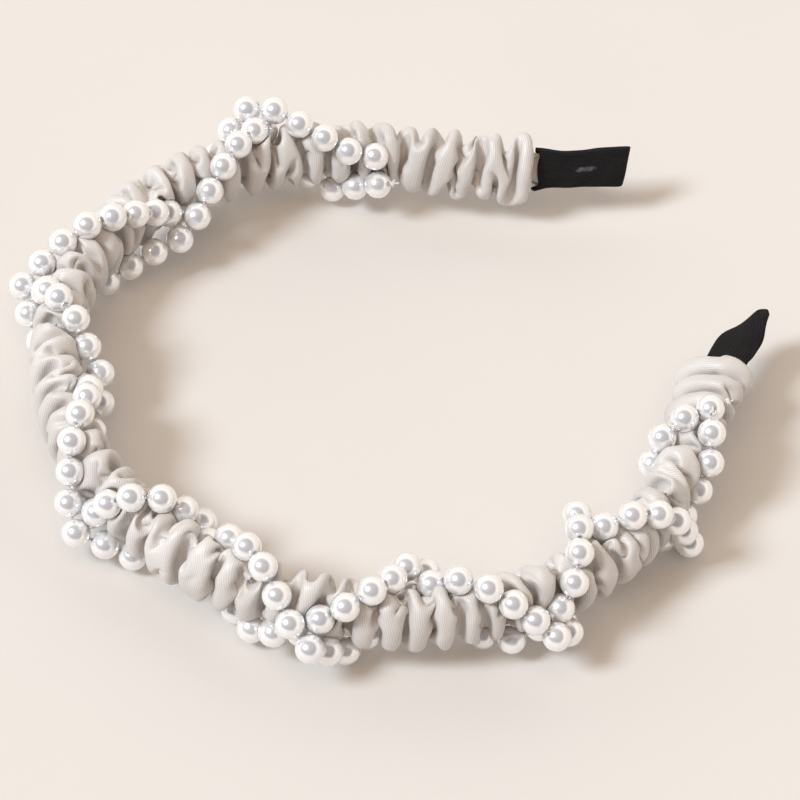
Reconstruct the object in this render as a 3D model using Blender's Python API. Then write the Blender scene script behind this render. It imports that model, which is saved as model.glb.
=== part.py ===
"""Headband: a sprung strip in a gathered satin sleeve, with two wound bead strands.

The band lies flat, so its bow is in the XY plane and its width runs along Z.
The origin is the middle of the crown's inner face, where the band rests on the head.
The arms run towards +Y, the left arm on -X and the right arm on +X.
"Arc" is the distance along the band's centreline from the crown, positive to the right.
Lengths are in metres and angles in degrees unless a name says otherwise.
"""

import math

import bmesh
import bpy
import numpy as np
from mathutils import Vector

MM = 0.001
CLEARANCE = 0.3 * MM

# The bow: one round arc, then two ends that bend back a little.
BOW_RADIUS = 68.0 * MM
BOW_HALF_ARC = 155.0 * MM
END_RADIUS = 150.0 * MM
LEFT_END_ARC = -206.0 * MM
RIGHT_END_ARC = 203.0 * MM

# Where the arms flex. The hinges stand in for the bending of the strip.
HINGE_ARC = 28.0 * MM
HINGE_GAP = 1.4 * MM
STRIP_HINGE_GAP = 0.6 * MM
BEAD_HINGE_SLACK = 0.7 * MM

# How far the band's top edge leans outwards, as (arc from the crown, degrees).
LEFT_LEAN = ((0.150, 0.0), (0.186, 22.0), (0.206, 22.0))
RIGHT_LEAN = ((0.146, 0.0), (0.184, 70.0), (0.191, 76.0), (0.203, 26.0))

# The spring strip.
STRIP_WIDTH = 7.0 * MM
STRIP_THICKNESS = 1.0 * MM
STRIP_END_MARGIN = 3.0 * MM
STRIP_STEP = 2.0 * MM

# The sleeve is cinched where the strands cross and puffed between the crossings.
SLEEVE_END_ARC = 185.7 * MM
SLEEVE_TAPER_ARC = 150.0 * MM
SLEEVE_CINCHED = (1.7 * MM, 5.4 * MM)
SLEEVE_PUFFED = (3.4 * MM, 6.3 * MM)
SLEEVE_PUFF_REACH = 12.0 * MM
SLEEVE_END = (2.7 * MM, 5.0 * MM)
SLEEVE_BORE = (1.1 * MM, 4.4 * MM)
SLEEVE_BORE_SQUARENESS = 2.0
SLEEVE_SIDES = 10
SLEEVE_STEP = 6.0 * MM
CROWN_FLAT_HALF_ARC = 3.0 * MM

# The end covers are flat pockets over the ends of the strip.
COVER_START_ARC = 186.0 * MM
COVER_HALF_WIDTH = 4.8 * MM
COVER_WAIST_HALF_WIDTH = 4.4 * MM
COVER_HALF_THICKNESS = 1.5 * MM
COVER_BORE = (0.95 * MM, 3.85 * MM)
COVER_BORE_MARGIN = 2.4 * MM
COVER_PAD_LENGTH = 6.0 * MM
COVER_TIP_LENGTH = 1.6 * MM
COVER_STEP = 1.6 * MM
COVER_CORNER = 0.45

# The beads, their threads and the winding.
BEAD_RADIUS = 3.0 * MM
BEAD_NECK_RADIUS = 1.0 * MM
BEAD_BORE_RADIUS = 0.62 * MM
BEAD_PITCH = 6.3 * MM
BEAD_SIDES = 7
BEAD_SHOULDER = 48.0
THREAD_RADIUS = 0.25 * MM
KNOT_RADIUS = 1.0 * MM
RUN_BEADS = 7

# Arcs where each strand passes the four sides of the band, a quarter turn apart.
# Strand A passes inner, lower, outer, upper; strand B passes inner, upper, outer, lower.
STRAND_A_ARCS = (
    -0.150, -0.139, -0.125, -0.115, -0.097, -0.068, -0.055, -0.045, -0.034, -0.009,
    0.002, 0.015, 0.024, 0.037, 0.052, 0.070, 0.080, 0.090, 0.101, 0.114, 0.120,
    0.131, 0.149, 0.159,
)
STRAND_B_ARCS = (
    -0.150, -0.126, -0.117, -0.106, -0.097, -0.070, -0.055, -0.044, -0.031, -0.013,
    -0.001, 0.014, 0.021, 0.040, 0.051, 0.061, 0.070, 0.084, 0.098, 0.106, 0.110,
    0.126, 0.140, 0.146, 0.150, 0.163,
)

# Where one strand rides over the other, it rises by this share of the room it lacks.
CROSSING_LIFT_SHARE = 0.7

# A strand turns gently: a bead's two neighbours stay at least this far apart.
BEND_SPAN = 11.4 * MM

# The beads settle onto the sleeve: first held near their wound places, then free.
SETTLE_STEPS = 500
SETTLE_FREE_STEPS = 250
SETTLE_PULL = 0.06
SETTLE_MEMORY = 0.04
SETTLE_PUSH = 0.9
SETTLE_STRAIGHTEN = 0.5
PATH_STEP = 0.2 * MM
MAP_STEP = 0.5 * MM

# Any direction that no thread runs along; the beads' rings start from it.
RING_START = (0.13, 0.27, 0.95)

MATERIALS = {
    "spring_steel": ((0.55, 0.56, 0.58), 0.35, 1.0),
    "satin": ((0.60, 0.56, 0.52), 0.42, 0.0),
    "ribbed_black": ((0.012, 0.011, 0.012), 0.85, 0.0),
    "pearl": ((0.90, 0.88, 0.87), 0.16, 0.0),
    "thread": ((0.85, 0.84, 0.82), 0.6, 0.0),
}


def clear_scene():
    for scene_object in list(bpy.data.objects):
        bpy.data.objects.remove(scene_object, do_unlink=True)


def material(name):
    """The Principled material of that name, made on first use."""
    if name in bpy.data.materials:
        return bpy.data.materials[name]
    color, roughness, metallic = MATERIALS[name]
    made = bpy.data.materials.new(name)
    made.use_nodes = True
    shader = made.node_tree.nodes["Principled BSDF"]
    shader.inputs["Base Color"].default_value = (*color, 1.0)
    shader.inputs["Roughness"].default_value = roughness
    shader.inputs["Metallic"].default_value = metallic
    return made


def unit(vector):
    return vector / np.linalg.norm(vector)


# ---------------------------------------------------------------- the band's centreline


def heading(distance):
    """Angle in radians of the centreline from +X, at a distance from the crown."""
    bend = min(distance, BOW_HALF_ARC) / BOW_RADIUS
    return bend - max(distance - BOW_HALF_ARC, 0.0) / END_RADIUS


def crown_depth():
    """How far the crown's flat inner facet lies inside the centreline."""
    inner = sleeve_size(0.0)[0] * math.cos(math.pi / SLEEVE_SIDES)
    return BOW_RADIUS - (BOW_RADIUS - inner) * math.cos(CROWN_FLAT_HALF_ARC / BOW_RADIUS)


def centre(arc):
    """Point of the centreline at an arc."""
    distance = abs(arc)
    bend = min(distance, BOW_HALF_ARC) / BOW_RADIUS
    x = BOW_RADIUS * math.sin(bend)
    y = BOW_RADIUS * (1.0 - math.cos(bend))
    if distance > BOW_HALF_ARC:
        turned = heading(distance)
        x += END_RADIUS * (math.sin(bend) - math.sin(turned))
        y += END_RADIUS * (math.cos(turned) - math.cos(bend))
    return np.array([math.copysign(x, arc), y - crown_depth(), 0.0])


def lean(arc):
    """How far the band's top edge leans outwards at an arc, in radians."""
    stations = RIGHT_LEAN if arc > 0 else LEFT_LEAN
    distance = abs(arc)
    if distance <= stations[0][0]:
        return 0.0
    for (start, before), (end, after) in zip(stations, stations[1:]):
        if distance <= end:
            share = (distance - start) / (end - start)
            share = share * share * (3.0 - 2.0 * share)
            return math.radians(before + (after - before) * share)
    return math.radians(stations[-1][1])


def section_axes(arc):
    """Unit vectors at an arc: along the band, out of its outer face, and up its width."""
    angle = heading(abs(arc))
    side = 1.0 if arc >= 0 else -1.0
    along = np.array([math.cos(angle), side * math.sin(angle), 0.0])
    outward = np.array([side * math.sin(angle), -math.cos(angle), 0.0])
    up = np.array([0.0, 0.0, 1.0])
    tilt = lean(arc)
    face = math.cos(tilt) * outward - math.sin(tilt) * up
    width = math.cos(tilt) * up + math.sin(tilt) * outward
    return along, face, width


def point_on_section(arc, depth, height):
    """Point at an arc, at a depth out of the outer face and a height up the width."""
    _, face, width = section_axes(arc)
    return centre(arc) + depth * face + height * width


def sleeve_size(arc):
    """Half thickness and half width of the sleeve's outside at an arc."""
    sides = zip(STRAND_A_ARCS[::2], STRAND_B_ARCS[::2])
    nearest = min(abs((first + second) / 2.0 - arc) for first, second in sides)
    puff = 0.5 - 0.5 * math.cos(math.pi * min(nearest / SLEEVE_PUFF_REACH, 1.0))
    size = [low + (high - low) * puff for low, high in zip(SLEEVE_CINCHED, SLEEVE_PUFFED)]
    past = (abs(arc) - SLEEVE_TAPER_ARC) / (SLEEVE_END_ARC - SLEEVE_TAPER_ARC)
    share = min(max(past, 0.0), 1.0)
    return [value + (last - value) * share for value, last in zip(size, SLEEVE_END)]


# ---------------------------------------------------------------- mesh helpers


def add_ring(mesh, points):
    return [mesh.verts.new(Vector(point)) for point in points]


def bridge(mesh, first, second):
    count = len(first)
    for i in range(count):
        j = (i + 1) % count
        mesh.faces.new((first[i], first[j], second[j], second[i]))


def finish_object(name, mesh, material_name, sharp_angle=40.0):
    bmesh.ops.recalc_face_normals(mesh, faces=mesh.faces)
    data = bpy.data.meshes.new(name)
    mesh.to_mesh(data)
    mesh.free()
    data.shade_smooth()
    data.set_sharp_from_angle(angle=math.radians(sharp_angle))
    data.materials.append(material(material_name))
    made = bpy.data.objects.new(name, data)
    bpy.context.collection.objects.link(made)
    return made


def loft(name, rings, material_name):
    """A solid skinned over rings of points, with flat ends."""
    mesh = bmesh.new()
    loops = [add_ring(mesh, ring) for ring in rings]
    for first, second in zip(loops, loops[1:]):
        bridge(mesh, first, second)
    mesh.faces.new(loops[0])
    mesh.faces.new(loops[-1])
    return finish_object(name, mesh, material_name)


def loft_tube(name, outside, inside, material_name, closed_end=False):
    """A tube skinned over outer and inner rings; a closed end makes it a pocket."""
    mesh = bmesh.new()
    outer = [add_ring(mesh, ring) for ring in outside]
    inner = [add_ring(mesh, ring) for ring in inside]
    for loops in (outer, inner):
        for first, second in zip(loops, loops[1:]):
            bridge(mesh, first, second)
    bridge(mesh, outer[0], inner[0])
    if closed_end:
        mesh.faces.new(outer[-1])
        mesh.faces.new(inner[-1])
    else:
        bridge(mesh, outer[-1], inner[-1])
    return finish_object(name, mesh, material_name)


def arcs_between(start, end, step):
    count = max(2, int(round(abs(end - start) / step)) + 1)
    return np.linspace(start, end, count)


def oval_ring(arc, half_depth, half_height, squareness=1.0):
    """A ring around the band with a flat facet on the inner face; 1 makes an ellipse."""
    points = []
    for i in range(SLEEVE_SIDES):
        angle = 2.0 * math.pi * (i + 0.5) / SLEEVE_SIDES
        across, upward = math.cos(angle), math.sin(angle)
        depth = half_depth * math.copysign(abs(across) ** (1.0 / squareness), across)
        height = half_height * math.copysign(abs(upward) ** (1.0 / squareness), upward)
        points.append(point_on_section(arc, depth, height))
    return points


def slab_ring(arc, half_depth, half_height, corner=0.0):
    """A rectangular ring, or an eight-sided one if the corners are cut."""
    if corner == 0.0:
        outline = [(1, 1), (-1, 1), (-1, -1), (1, -1)]
        return [point_on_section(arc, x * half_depth, y * half_height) for x, y in outline]
    cut = corner * half_depth
    points = []
    for x, y in ((1, 1), (-1, 1), (-1, -1), (1, -1)):
        wide = point_on_section(arc, x * (half_depth - cut), y * half_height)
        tall = point_on_section(arc, x * half_depth, y * (half_height - 2.0 * cut))
        points += [tall, wide] if x * y > 0 else [wide, tall]
    return points


# ---------------------------------------------------------------- strip, sleeve and covers


def segments():
    """The three rigid lengths of the band: name, first arc and last arc."""
    return (
        ("left_arm", LEFT_END_ARC, -HINGE_ARC),
        ("crown", -HINGE_ARC, HINGE_ARC),
        ("right_arm", HINGE_ARC, RIGHT_END_ARC),
    )


def build_strip():
    half_gap = STRIP_HINGE_GAP / 2.0
    for name, first, last in segments():
        low = max(first + half_gap, LEFT_END_ARC + STRIP_END_MARGIN)
        high = min(last - half_gap, RIGHT_END_ARC - STRIP_END_MARGIN)
        rings = [
            slab_ring(arc, STRIP_THICKNESS / 2.0, STRIP_WIDTH / 2.0)
            for arc in arcs_between(low, high, STRIP_STEP)
        ]
        loft("spring_strip_" + name, rings, "spring_steel")


def sleeve_arcs(low, high):
    """Ring places along a sleeve; the crown keeps one flat facet about its middle."""
    if low < 0.0 < high:
        flat = CROWN_FLAT_HALF_ARC
        right = arcs_between(flat, high, SLEEVE_STEP)
        left = arcs_between(low, -flat, SLEEVE_STEP)
        return np.concatenate([left, right])
    return arcs_between(low, high, SLEEVE_STEP)


def build_sleeve():
    for name, first, last in segments():
        low = max(first + HINGE_GAP / 2.0, -SLEEVE_END_ARC)
        high = min(last - HINGE_GAP / 2.0, SLEEVE_END_ARC)
        outside, inside = [], []
        for arc in sleeve_arcs(low, high):
            size = sleeve_size(0.0) if abs(arc) <= CROWN_FLAT_HALF_ARC else sleeve_size(arc)
            outside.append(oval_ring(arc, *size))
            inside.append(oval_ring(arc, *SLEEVE_BORE, SLEEVE_BORE_SQUARENESS))
        loft_tube("sleeve_" + name, outside, inside, "satin")


def cover_half_width(share):
    """The pocket's half width at a share of its length; it has a waist behind its mouth."""
    waist = math.sin(math.pi * min(share * 2.0, 1.0))
    return COVER_HALF_WIDTH + (COVER_WAIST_HALF_WIDTH - COVER_HALF_WIDTH) * waist


def build_cover(name, end_arc, pad_length):
    """A pocket over one end of the strip, with its mouth towards the sleeve.

    The last stretch of the given length is one flat pad; a twisted end has none.
    """
    side = math.copysign(1.0, end_arc)
    end = abs(end_arc)
    pad_end = end - COVER_TIP_LENGTH
    bore_end = end - COVER_BORE_MARGIN
    body = list(arcs_between(COVER_START_ARC, pad_end - pad_length, COVER_STEP))
    outer = body + [pad_end, end] if pad_length > 0.0 else body + [end]
    inner = [arc for arc in body if arc < bore_end] + [bore_end]
    outside = []
    for arc in outer:
        share = (arc - COVER_START_ARC) / (end - COVER_START_ARC)
        half_width = cover_half_width(share)
        outside.append(slab_ring(side * arc, COVER_HALF_THICKNESS, half_width, COVER_CORNER))
    inside = [slab_ring(side * arc, *COVER_BORE, corner=COVER_CORNER) for arc in inner]
    loft_tube(name, outside, inside, "ribbed_black", closed_end=True)


# ---------------------------------------------------------------- bead strands


def strand_base(arc, stations, hand, lift=0.0):
    """Point on a strand's path over the sleeve, raised by a lift.

    hand is 1 for strand A, which leaves the inner side downwards, and -1 for strand B.
    """
    quarters = 2.0 + np.arange(len(stations))
    angle = 0.5 * math.pi * float(np.interp(arc, stations, quarters))
    half_depth, half_height = sleeve_size(arc)
    reach = BEAD_RADIUS + CLEARANCE + lift
    depth = (half_depth + reach) * math.cos(angle)
    height = (half_height + reach) * math.sin(angle) * hand
    return point_on_section(arc, depth, height)


def strand_point(arc, hand):
    """A strand's path; where the strands meet, A rides over inside and B outside."""
    point_a = strand_base(arc, STRAND_A_ARCS, 1)
    point_b = strand_base(arc, STRAND_B_ARCS, -1)
    _, face, _ = section_axes(arc)
    outer_side = np.dot(point_a - centre(arc), face) > 0.0
    if outer_side == (hand > 0):
        return point_a if hand > 0 else point_b
    gap = np.linalg.norm(point_a - point_b)
    lift = math.sqrt(max(BEAD_PITCH**2 - gap**2, 0.0)) * CROSSING_LIFT_SHARE
    stations = STRAND_A_ARCS if hand > 0 else STRAND_B_ARCS
    return strand_base(arc, stations, hand, lift)


def place_beads(hand):
    """Bead centres stepped along a strand's path, one pitch apart."""
    stations = STRAND_A_ARCS if hand > 0 else STRAND_B_ARCS
    arcs = np.arange(stations[0], stations[-1], PATH_STEP)
    path = np.array([strand_point(arc, hand) for arc in arcs])
    beads = [path[0]]
    for point in path:
        if np.linalg.norm(point - beads[-1]) >= BEAD_PITCH:
            beads.append(point)
    return np.array(beads)


class BandMap:
    """Finds the arc, depth and height of points near the band."""

    def __init__(self):
        self.arcs = np.arange(LEFT_END_ARC, RIGHT_END_ARC, MAP_STEP)
        self.centres = np.array([centre(arc) for arc in self.arcs])
        axes = [section_axes(arc) for arc in self.arcs]
        self.faces = np.array([axis[1] for axis in axes])
        self.widths = np.array([axis[2] for axis in axes])
        self.sizes = np.array([sleeve_size(arc) for arc in self.arcs])

    def locate(self, points):
        gaps = points[:, None, :2] - self.centres[None, :, :2]
        nearest = (gaps**2).sum(axis=2).argmin(axis=1)
        offsets = points - self.centres[nearest]
        depth = (offsets * self.faces[nearest]).sum(axis=1)
        height = (offsets * self.widths[nearest]).sum(axis=1)
        return nearest, depth, height


def keep_outside(points, band, pull):
    """Push beads off the sleeve, and draw beads that stand off back towards it."""
    nearest, depth, height = band.locate(points)
    reach = band.sizes[nearest] + BEAD_RADIUS + CLEARANCE
    level = np.sqrt((depth / reach[:, 0]) ** 2 + (height / reach[:, 1]) ** 2)
    change = np.where(level < 1.0, 1.0 / level - 1.0, pull * (1.0 / level - 1.0))
    move = (depth * change)[:, None] * band.faces[nearest]
    move += (height * change)[:, None] * band.widths[nearest]
    return points + move


def keep_pitch(points, strand):
    """Bring neighbours on one thread back to one pitch."""
    linked = np.where(strand[:-1] == strand[1:])[0]
    for parity in (0, 1):
        left = linked[linked % 2 == parity]
        step = points[left + 1] - points[left]
        length = np.linalg.norm(step, axis=1, keepdims=True)
        shift = 0.5 * step * (1.0 - BEAD_PITCH / length)
        points[left] += shift
        points[left + 1] -= shift
    return points


def keep_straight(points, strand):
    """Spread a bead's two neighbours where the strand turns too sharply at it."""
    linked = np.where(strand[:-2] == strand[2:])[0]
    step = points[linked + 2] - points[linked]
    length = np.linalg.norm(step, axis=1, keepdims=True)
    lack = np.maximum(BEND_SPAN / length - 1.0, 0.0)
    shift = 0.5 * SETTLE_STRAIGHTEN * lack * step
    moved = points.copy()
    np.add.at(moved, linked, -shift)
    np.add.at(moved, linked + 2, shift)
    return moved


def keep_apart(points, band):
    """Separate beads that are too close, with more room across a hinge."""
    arcs = band.arcs[band.locate(points)[0]]
    body = np.digitize(arcs, (-HINGE_ARC, HINGE_ARC))
    room = BEAD_PITCH + BEAD_HINGE_SLACK * (body[:, None] != body[None, :])
    step = points[None, :, :] - points[:, None, :]
    length = np.sqrt((step**2).sum(axis=2)) + np.eye(len(points))
    short = np.where(length < room, 0.5 * (1.0 - room / length), 0.0)
    np.fill_diagonal(short, 0.0)
    return points + SETTLE_PUSH * (short[:, :, None] * step).sum(axis=1)


def settle_beads(band):
    """Bead centres of both strands, drawn down onto the sleeve without overlaps."""
    first, second = place_beads(1), place_beads(-1)
    points = np.concatenate([first, second])
    strand = np.concatenate([np.zeros(len(first)), np.ones(len(second))])
    wound = points.copy()
    for step in range(SETTLE_STEPS + SETTLE_FREE_STEPS):
        drawn = step < SETTLE_STEPS
        if drawn:
            points += SETTLE_MEMORY * (wound - points)
        points = keep_outside(points, band, SETTLE_PULL if drawn else 0.0)
        points = keep_straight(points, strand)
        points = keep_pitch(points, strand)
        points = keep_apart(points, band)
    return points[strand == 0], points[strand == 1]


def square_to(axis, reference):
    """The part of a reference direction square to an axis, as a unit vector."""
    return unit(reference - axis * np.dot(reference, axis))


def circle(middle, axis, reference, radius, sides):
    """Points of a circle about an axis, starting at a reference direction."""
    side = np.cross(axis, reference)
    points = []
    for i in range(sides):
        angle = 2.0 * math.pi * i / sides
        points.append(middle + radius * (math.cos(angle) * reference + math.sin(angle) * side))
    return points


def build_run(name, centres, before, after):
    """One run of beads joined at their poles, with a bore along the thread's line.

    before and after are the centres of the beads next to the run, or None at an end.
    """
    links = list(centres)
    links.insert(0, before if before is not None else 2 * centres[0] - centres[1])
    links.append(after if after is not None else 2 * centres[-1] - centres[-2])
    links = np.array(links)
    ways = [unit(step) for step in np.diff(links, axis=0)]
    necks = [(a + b) / 2.0 for a, b in zip(links, links[1:])]
    pole = math.sqrt(BEAD_RADIUS**2 - BEAD_NECK_RADIUS**2)
    shoulder = math.radians(BEAD_SHOULDER)
    rise, reach = BEAD_RADIUS * math.cos(shoulder), BEAD_RADIUS * math.sin(shoulder)

    reference = square_to(ways[0], np.array(RING_START))
    outside, inside = [], []
    last = len(centres) - 1
    for i, middle in enumerate(centres):
        way_in, way_out = ways[i], ways[i + 1]
        start = middle - pole * way_in if i == 0 else necks[i]
        reference = square_to(way_in, reference)
        outside.append(circle(start, way_in, reference, BEAD_NECK_RADIUS, BEAD_SIDES))
        bore = line_at_plane(necks[i], necks[i + 1], start, way_in)
        inside.append(circle(bore, way_in, reference, BEAD_BORE_RADIUS, BEAD_SIDES))
        outside.append(circle(middle - rise * way_in, way_in, reference, reach, BEAD_SIDES))
        across = unit(way_in + way_out)
        reference = square_to(across, reference)
        outside.append(circle(middle, across, reference, BEAD_RADIUS, BEAD_SIDES))
        reference = square_to(way_out, reference)
        outside.append(circle(middle + rise * way_out, way_out, reference, reach, BEAD_SIDES))
        if i == last:
            stop = middle + pole * way_out
            outside.append(circle(stop, way_out, reference, BEAD_NECK_RADIUS, BEAD_SIDES))
            bore = line_at_plane(necks[i], necks[i + 1], stop, way_out)
            inside.append(circle(bore, way_out, reference, BEAD_BORE_RADIUS, BEAD_SIDES))
    return loft_tube(name, outside, inside, "pearl")


def line_at_plane(start, end, on_plane, normal):
    """Where the line through two points meets a plane."""
    step = end - start
    return start + step * np.dot(on_plane - start, normal) / np.dot(step, normal)


def build_thread(name, points):
    """A thread through the given points, as a curve with a round bevel and filled ends."""
    curve = bpy.data.curves.new(name, "CURVE")
    curve.dimensions = "3D"
    curve.bevel_depth = THREAD_RADIUS
    curve.bevel_resolution = 0
    curve.use_fill_caps = True
    spline = curve.splines.new("POLY")
    spline.points.add(len(points) - 1)
    for target, point in zip(spline.points, points):
        target.co = (*point, 1.0)
    curve.materials.append(material("thread"))
    thread = bpy.data.objects.new(name, curve)
    bpy.context.collection.objects.link(thread)


def build_knot(name, middle):
    mesh = bmesh.new()
    bmesh.ops.create_icosphere(mesh, subdivisions=1, radius=KNOT_RADIUS)
    bmesh.ops.translate(mesh, verts=mesh.verts, vec=Vector(middle))
    finish_object(name, mesh, "thread")


def split_runs(indices):
    """Consecutive bead indices cut into runs of nearly equal length."""
    count = max(1, round(len(indices) / RUN_BEADS))
    return np.array_split(np.array(indices), count)


def build_strand(letter, beads, band):
    """One strand: its runs of beads, its thread in three lengths and its two end knots."""
    arcs = band.arcs[band.locate(beads)[0]]
    for name, first, last in segments():
        held = [i for i, arc in enumerate(arcs) if first < arc <= last]
        for number, run in enumerate(split_runs(held), start=1):
            before = beads[run[0] - 1] if run[0] > 0 else None
            after = beads[run[-1] + 1] if run[-1] + 1 < len(beads) else None
            build_run(f"pearls_{letter}_{name}_{number}", beads[run], before, after)
        build_thread(f"thread_{letter}_{name}", thread_points(beads, held))
    for end, inner, name in ((0, 1, "left"), (-1, -2, "right")):
        way = unit(beads[end] - beads[inner])
        middle = beads[end] + way * (BEAD_RADIUS + CLEARANCE + KNOT_RADIUS)
        build_knot(f"knot_{letter}_{name}", middle)


def thread_points(beads, held):
    """The thread's line through some beads: from gap to gap, and straight at the ends."""
    extended = [2 * beads[0] - beads[1], *beads, 2 * beads[-1] - beads[-2]]
    necks = [(a + b) / 2.0 for a, b in zip(extended, extended[1:])]
    points = necks[held[0]:held[-1] + 2]
    margin = CLEARANCE / 2.0
    points[0] = points[0] + unit(points[1] - points[0]) * margin
    points[-1] = points[-1] + unit(points[-2] - points[-1]) * margin
    return points


def build_headband():
    clear_scene()
    band = BandMap()
    build_strip()
    build_sleeve()
    build_cover("left_end_cover", LEFT_END_ARC, COVER_PAD_LENGTH)
    build_cover("right_end_cover", RIGHT_END_ARC, 0.0)
    strand_a, strand_b = settle_beads(band)
    build_strand("a", strand_a, band)
    build_strand("b", strand_b, band)


build_headband()
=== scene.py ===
"""Looks of a beaded headband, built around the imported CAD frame.

Metres, in the CAD's frame: the band lies flat, the crown's inner face is at the origin and
the arms run towards +Y. "Arc" is the distance along the band's centreline from the crown,
positive to the right. Band coordinates are an arc, a depth out of the band's outer face
and a height up its width.
"""

import math

import bpy
import numpy as np
from mathutils import Matrix, Vector


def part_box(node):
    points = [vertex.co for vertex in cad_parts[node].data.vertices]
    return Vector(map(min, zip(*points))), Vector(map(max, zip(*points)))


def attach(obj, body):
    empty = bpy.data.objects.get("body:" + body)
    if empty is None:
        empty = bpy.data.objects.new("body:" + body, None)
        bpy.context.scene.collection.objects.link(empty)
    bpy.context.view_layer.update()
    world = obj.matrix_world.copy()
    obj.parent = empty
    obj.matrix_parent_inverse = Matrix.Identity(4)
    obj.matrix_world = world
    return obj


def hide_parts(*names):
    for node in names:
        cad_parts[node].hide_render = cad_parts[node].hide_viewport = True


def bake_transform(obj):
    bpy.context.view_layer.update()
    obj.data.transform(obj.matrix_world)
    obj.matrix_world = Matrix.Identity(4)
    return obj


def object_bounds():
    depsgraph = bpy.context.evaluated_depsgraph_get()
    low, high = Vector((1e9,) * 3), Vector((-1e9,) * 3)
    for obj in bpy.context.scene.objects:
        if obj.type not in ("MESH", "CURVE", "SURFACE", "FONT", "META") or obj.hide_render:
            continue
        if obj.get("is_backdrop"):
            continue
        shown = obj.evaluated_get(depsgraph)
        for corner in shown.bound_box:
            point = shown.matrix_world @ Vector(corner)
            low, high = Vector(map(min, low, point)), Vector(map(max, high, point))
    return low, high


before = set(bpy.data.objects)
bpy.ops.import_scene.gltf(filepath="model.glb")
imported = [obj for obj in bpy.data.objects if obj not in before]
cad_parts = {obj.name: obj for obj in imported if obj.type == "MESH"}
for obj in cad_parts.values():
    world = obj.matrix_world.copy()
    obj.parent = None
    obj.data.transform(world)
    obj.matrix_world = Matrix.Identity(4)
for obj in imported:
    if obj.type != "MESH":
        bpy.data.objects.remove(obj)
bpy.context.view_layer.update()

MM = 0.001

# The band's centreline: one round arc, then two ends that bend back a little.
BOW_RADIUS = 68.0 * MM
BOW_HALF_ARC = 155.0 * MM
END_RADIUS = 150.0 * MM
STRIP_HALF_THICKNESS = 0.5 * MM
CROWN_DEPTH = -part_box("spring_strip_crown")[0].y - STRIP_HALF_THICKNESS

# How far the band's top edge leans outwards: distances from the crown, and degrees.
LEFT_LEAN = ((0.150, 0.186, 0.206), (0.0, 22.0, 22.0))
RIGHT_LEAN = ((0.146, 0.184, 0.191, 0.203), (0.0, 70.0, 76.0, 26.0))

# Arcs at which the centreline is tabled, a little past both tips of the band.
MAP_START, MAP_STOP, MAP_STEP = -0.207, 0.204, 0.25 * MM


# ---------------------------------------------------------------- the band's shape


def unit(vector):
    """Vectors brought to a length of one."""
    return vector / np.linalg.norm(vector, axis=-1, keepdims=True)


def ease(share):
    """A share from 0 to 1 with a soft start and a soft stop."""
    return share * share * (3.0 - 2.0 * share)


def heading(distance):
    """Angles that the band has turned by at a distance: in its round bow, and in all."""
    bend = np.minimum(distance, BOW_HALF_ARC) / BOW_RADIUS
    return bend, bend - np.maximum(distance - BOW_HALF_ARC, 0.0) / END_RADIUS


def centre(arcs):
    """Points of the centreline."""
    bend, turned = heading(np.abs(arcs))
    x = BOW_RADIUS * np.sin(bend) + END_RADIUS * (np.sin(bend) - np.sin(turned))
    y = BOW_RADIUS * (1.0 - np.cos(bend)) + END_RADIUS * (np.cos(turned) - np.cos(bend))
    return np.stack([np.copysign(x, arcs), y - CROWN_DEPTH, np.zeros_like(x)], axis=-1)


def lean(arcs):
    """How far the band's top edge leans outwards, in radians."""
    angles = np.zeros_like(arcs)
    for side, (stations, degrees) in ((-1.0, LEFT_LEAN), (1.0, RIGHT_LEAN)):
        chosen = arcs * side > 0.0
        distance = np.clip(np.abs(arcs[chosen]), stations[0], stations[-1])
        after = np.clip(np.searchsorted(stations, distance), 1, len(stations) - 1)
        x, y = np.array(stations), np.array(degrees)
        share = ease((distance - x[after - 1]) / (x[after] - x[after - 1]))
        angles[chosen] = y[after - 1] + (y[after] - y[after - 1]) * share
    return np.radians(angles)


def section_axes(arcs):
    """Unit vectors along the band, out of its outer face, and up its width."""
    side = np.where(arcs >= 0.0, 1.0, -1.0)
    angle = heading(np.abs(arcs))[1]
    flat = np.zeros_like(arcs)
    along = np.stack([np.cos(angle), side * np.sin(angle), flat], axis=-1)
    outward = np.stack([side * np.sin(angle), -np.cos(angle), flat], axis=-1)
    up = np.array([0.0, 0.0, 1.0])
    tilt = lean(arcs)[..., None]
    face = np.cos(tilt) * outward - np.sin(tilt) * up
    width = np.cos(tilt) * up + np.sin(tilt) * outward
    return along, face, width


def to_world(local):
    """Points in the part's frame of band coordinates (arc, depth, height)."""
    arcs = local[..., 0]
    _, face, width = section_axes(arcs)
    return centre(arcs) + local[..., 1:2] * face + local[..., 2:3] * width


MAP_ARCS = np.arange(MAP_START, MAP_STOP, MAP_STEP)
MAP_CENTRES = centre(MAP_ARCS)
MAP_ALONG, MAP_FACE, MAP_WIDTH = section_axes(MAP_ARCS)


def to_band(points):
    """Band coordinates of points in the part's frame."""
    gaps = points[:, None, :2] - MAP_CENTRES[None, :, :2]
    nearest = (gaps**2).sum(axis=2).argmin(axis=1)
    offset = points - MAP_CENTRES[nearest]
    arcs = MAP_ARCS[nearest] + (offset * MAP_ALONG[nearest]).sum(axis=1)
    depth = (offset * MAP_FACE[nearest]).sum(axis=1)
    height = (offset * MAP_WIDTH[nearest]).sum(axis=1)
    return np.stack([arcs, depth, height], axis=1)


# ---------------------------------------------------------------- mesh helpers


def volume_sign(data):
    """A number of the sign of a mesh's volume; it is negative if the faces look inwards."""
    data.calc_loop_triangles()
    corners = np.zeros(len(data.loop_triangles) * 3, int)
    data.loop_triangles.foreach_get("vertices", corners)
    points = np.array([vertex.co for vertex in data.vertices], float)
    a, b, c = (points - points.mean(axis=0))[corners].reshape(-1, 3, 3).transpose(1, 0, 2)
    return float((a * np.cross(b, c)).sum())


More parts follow.
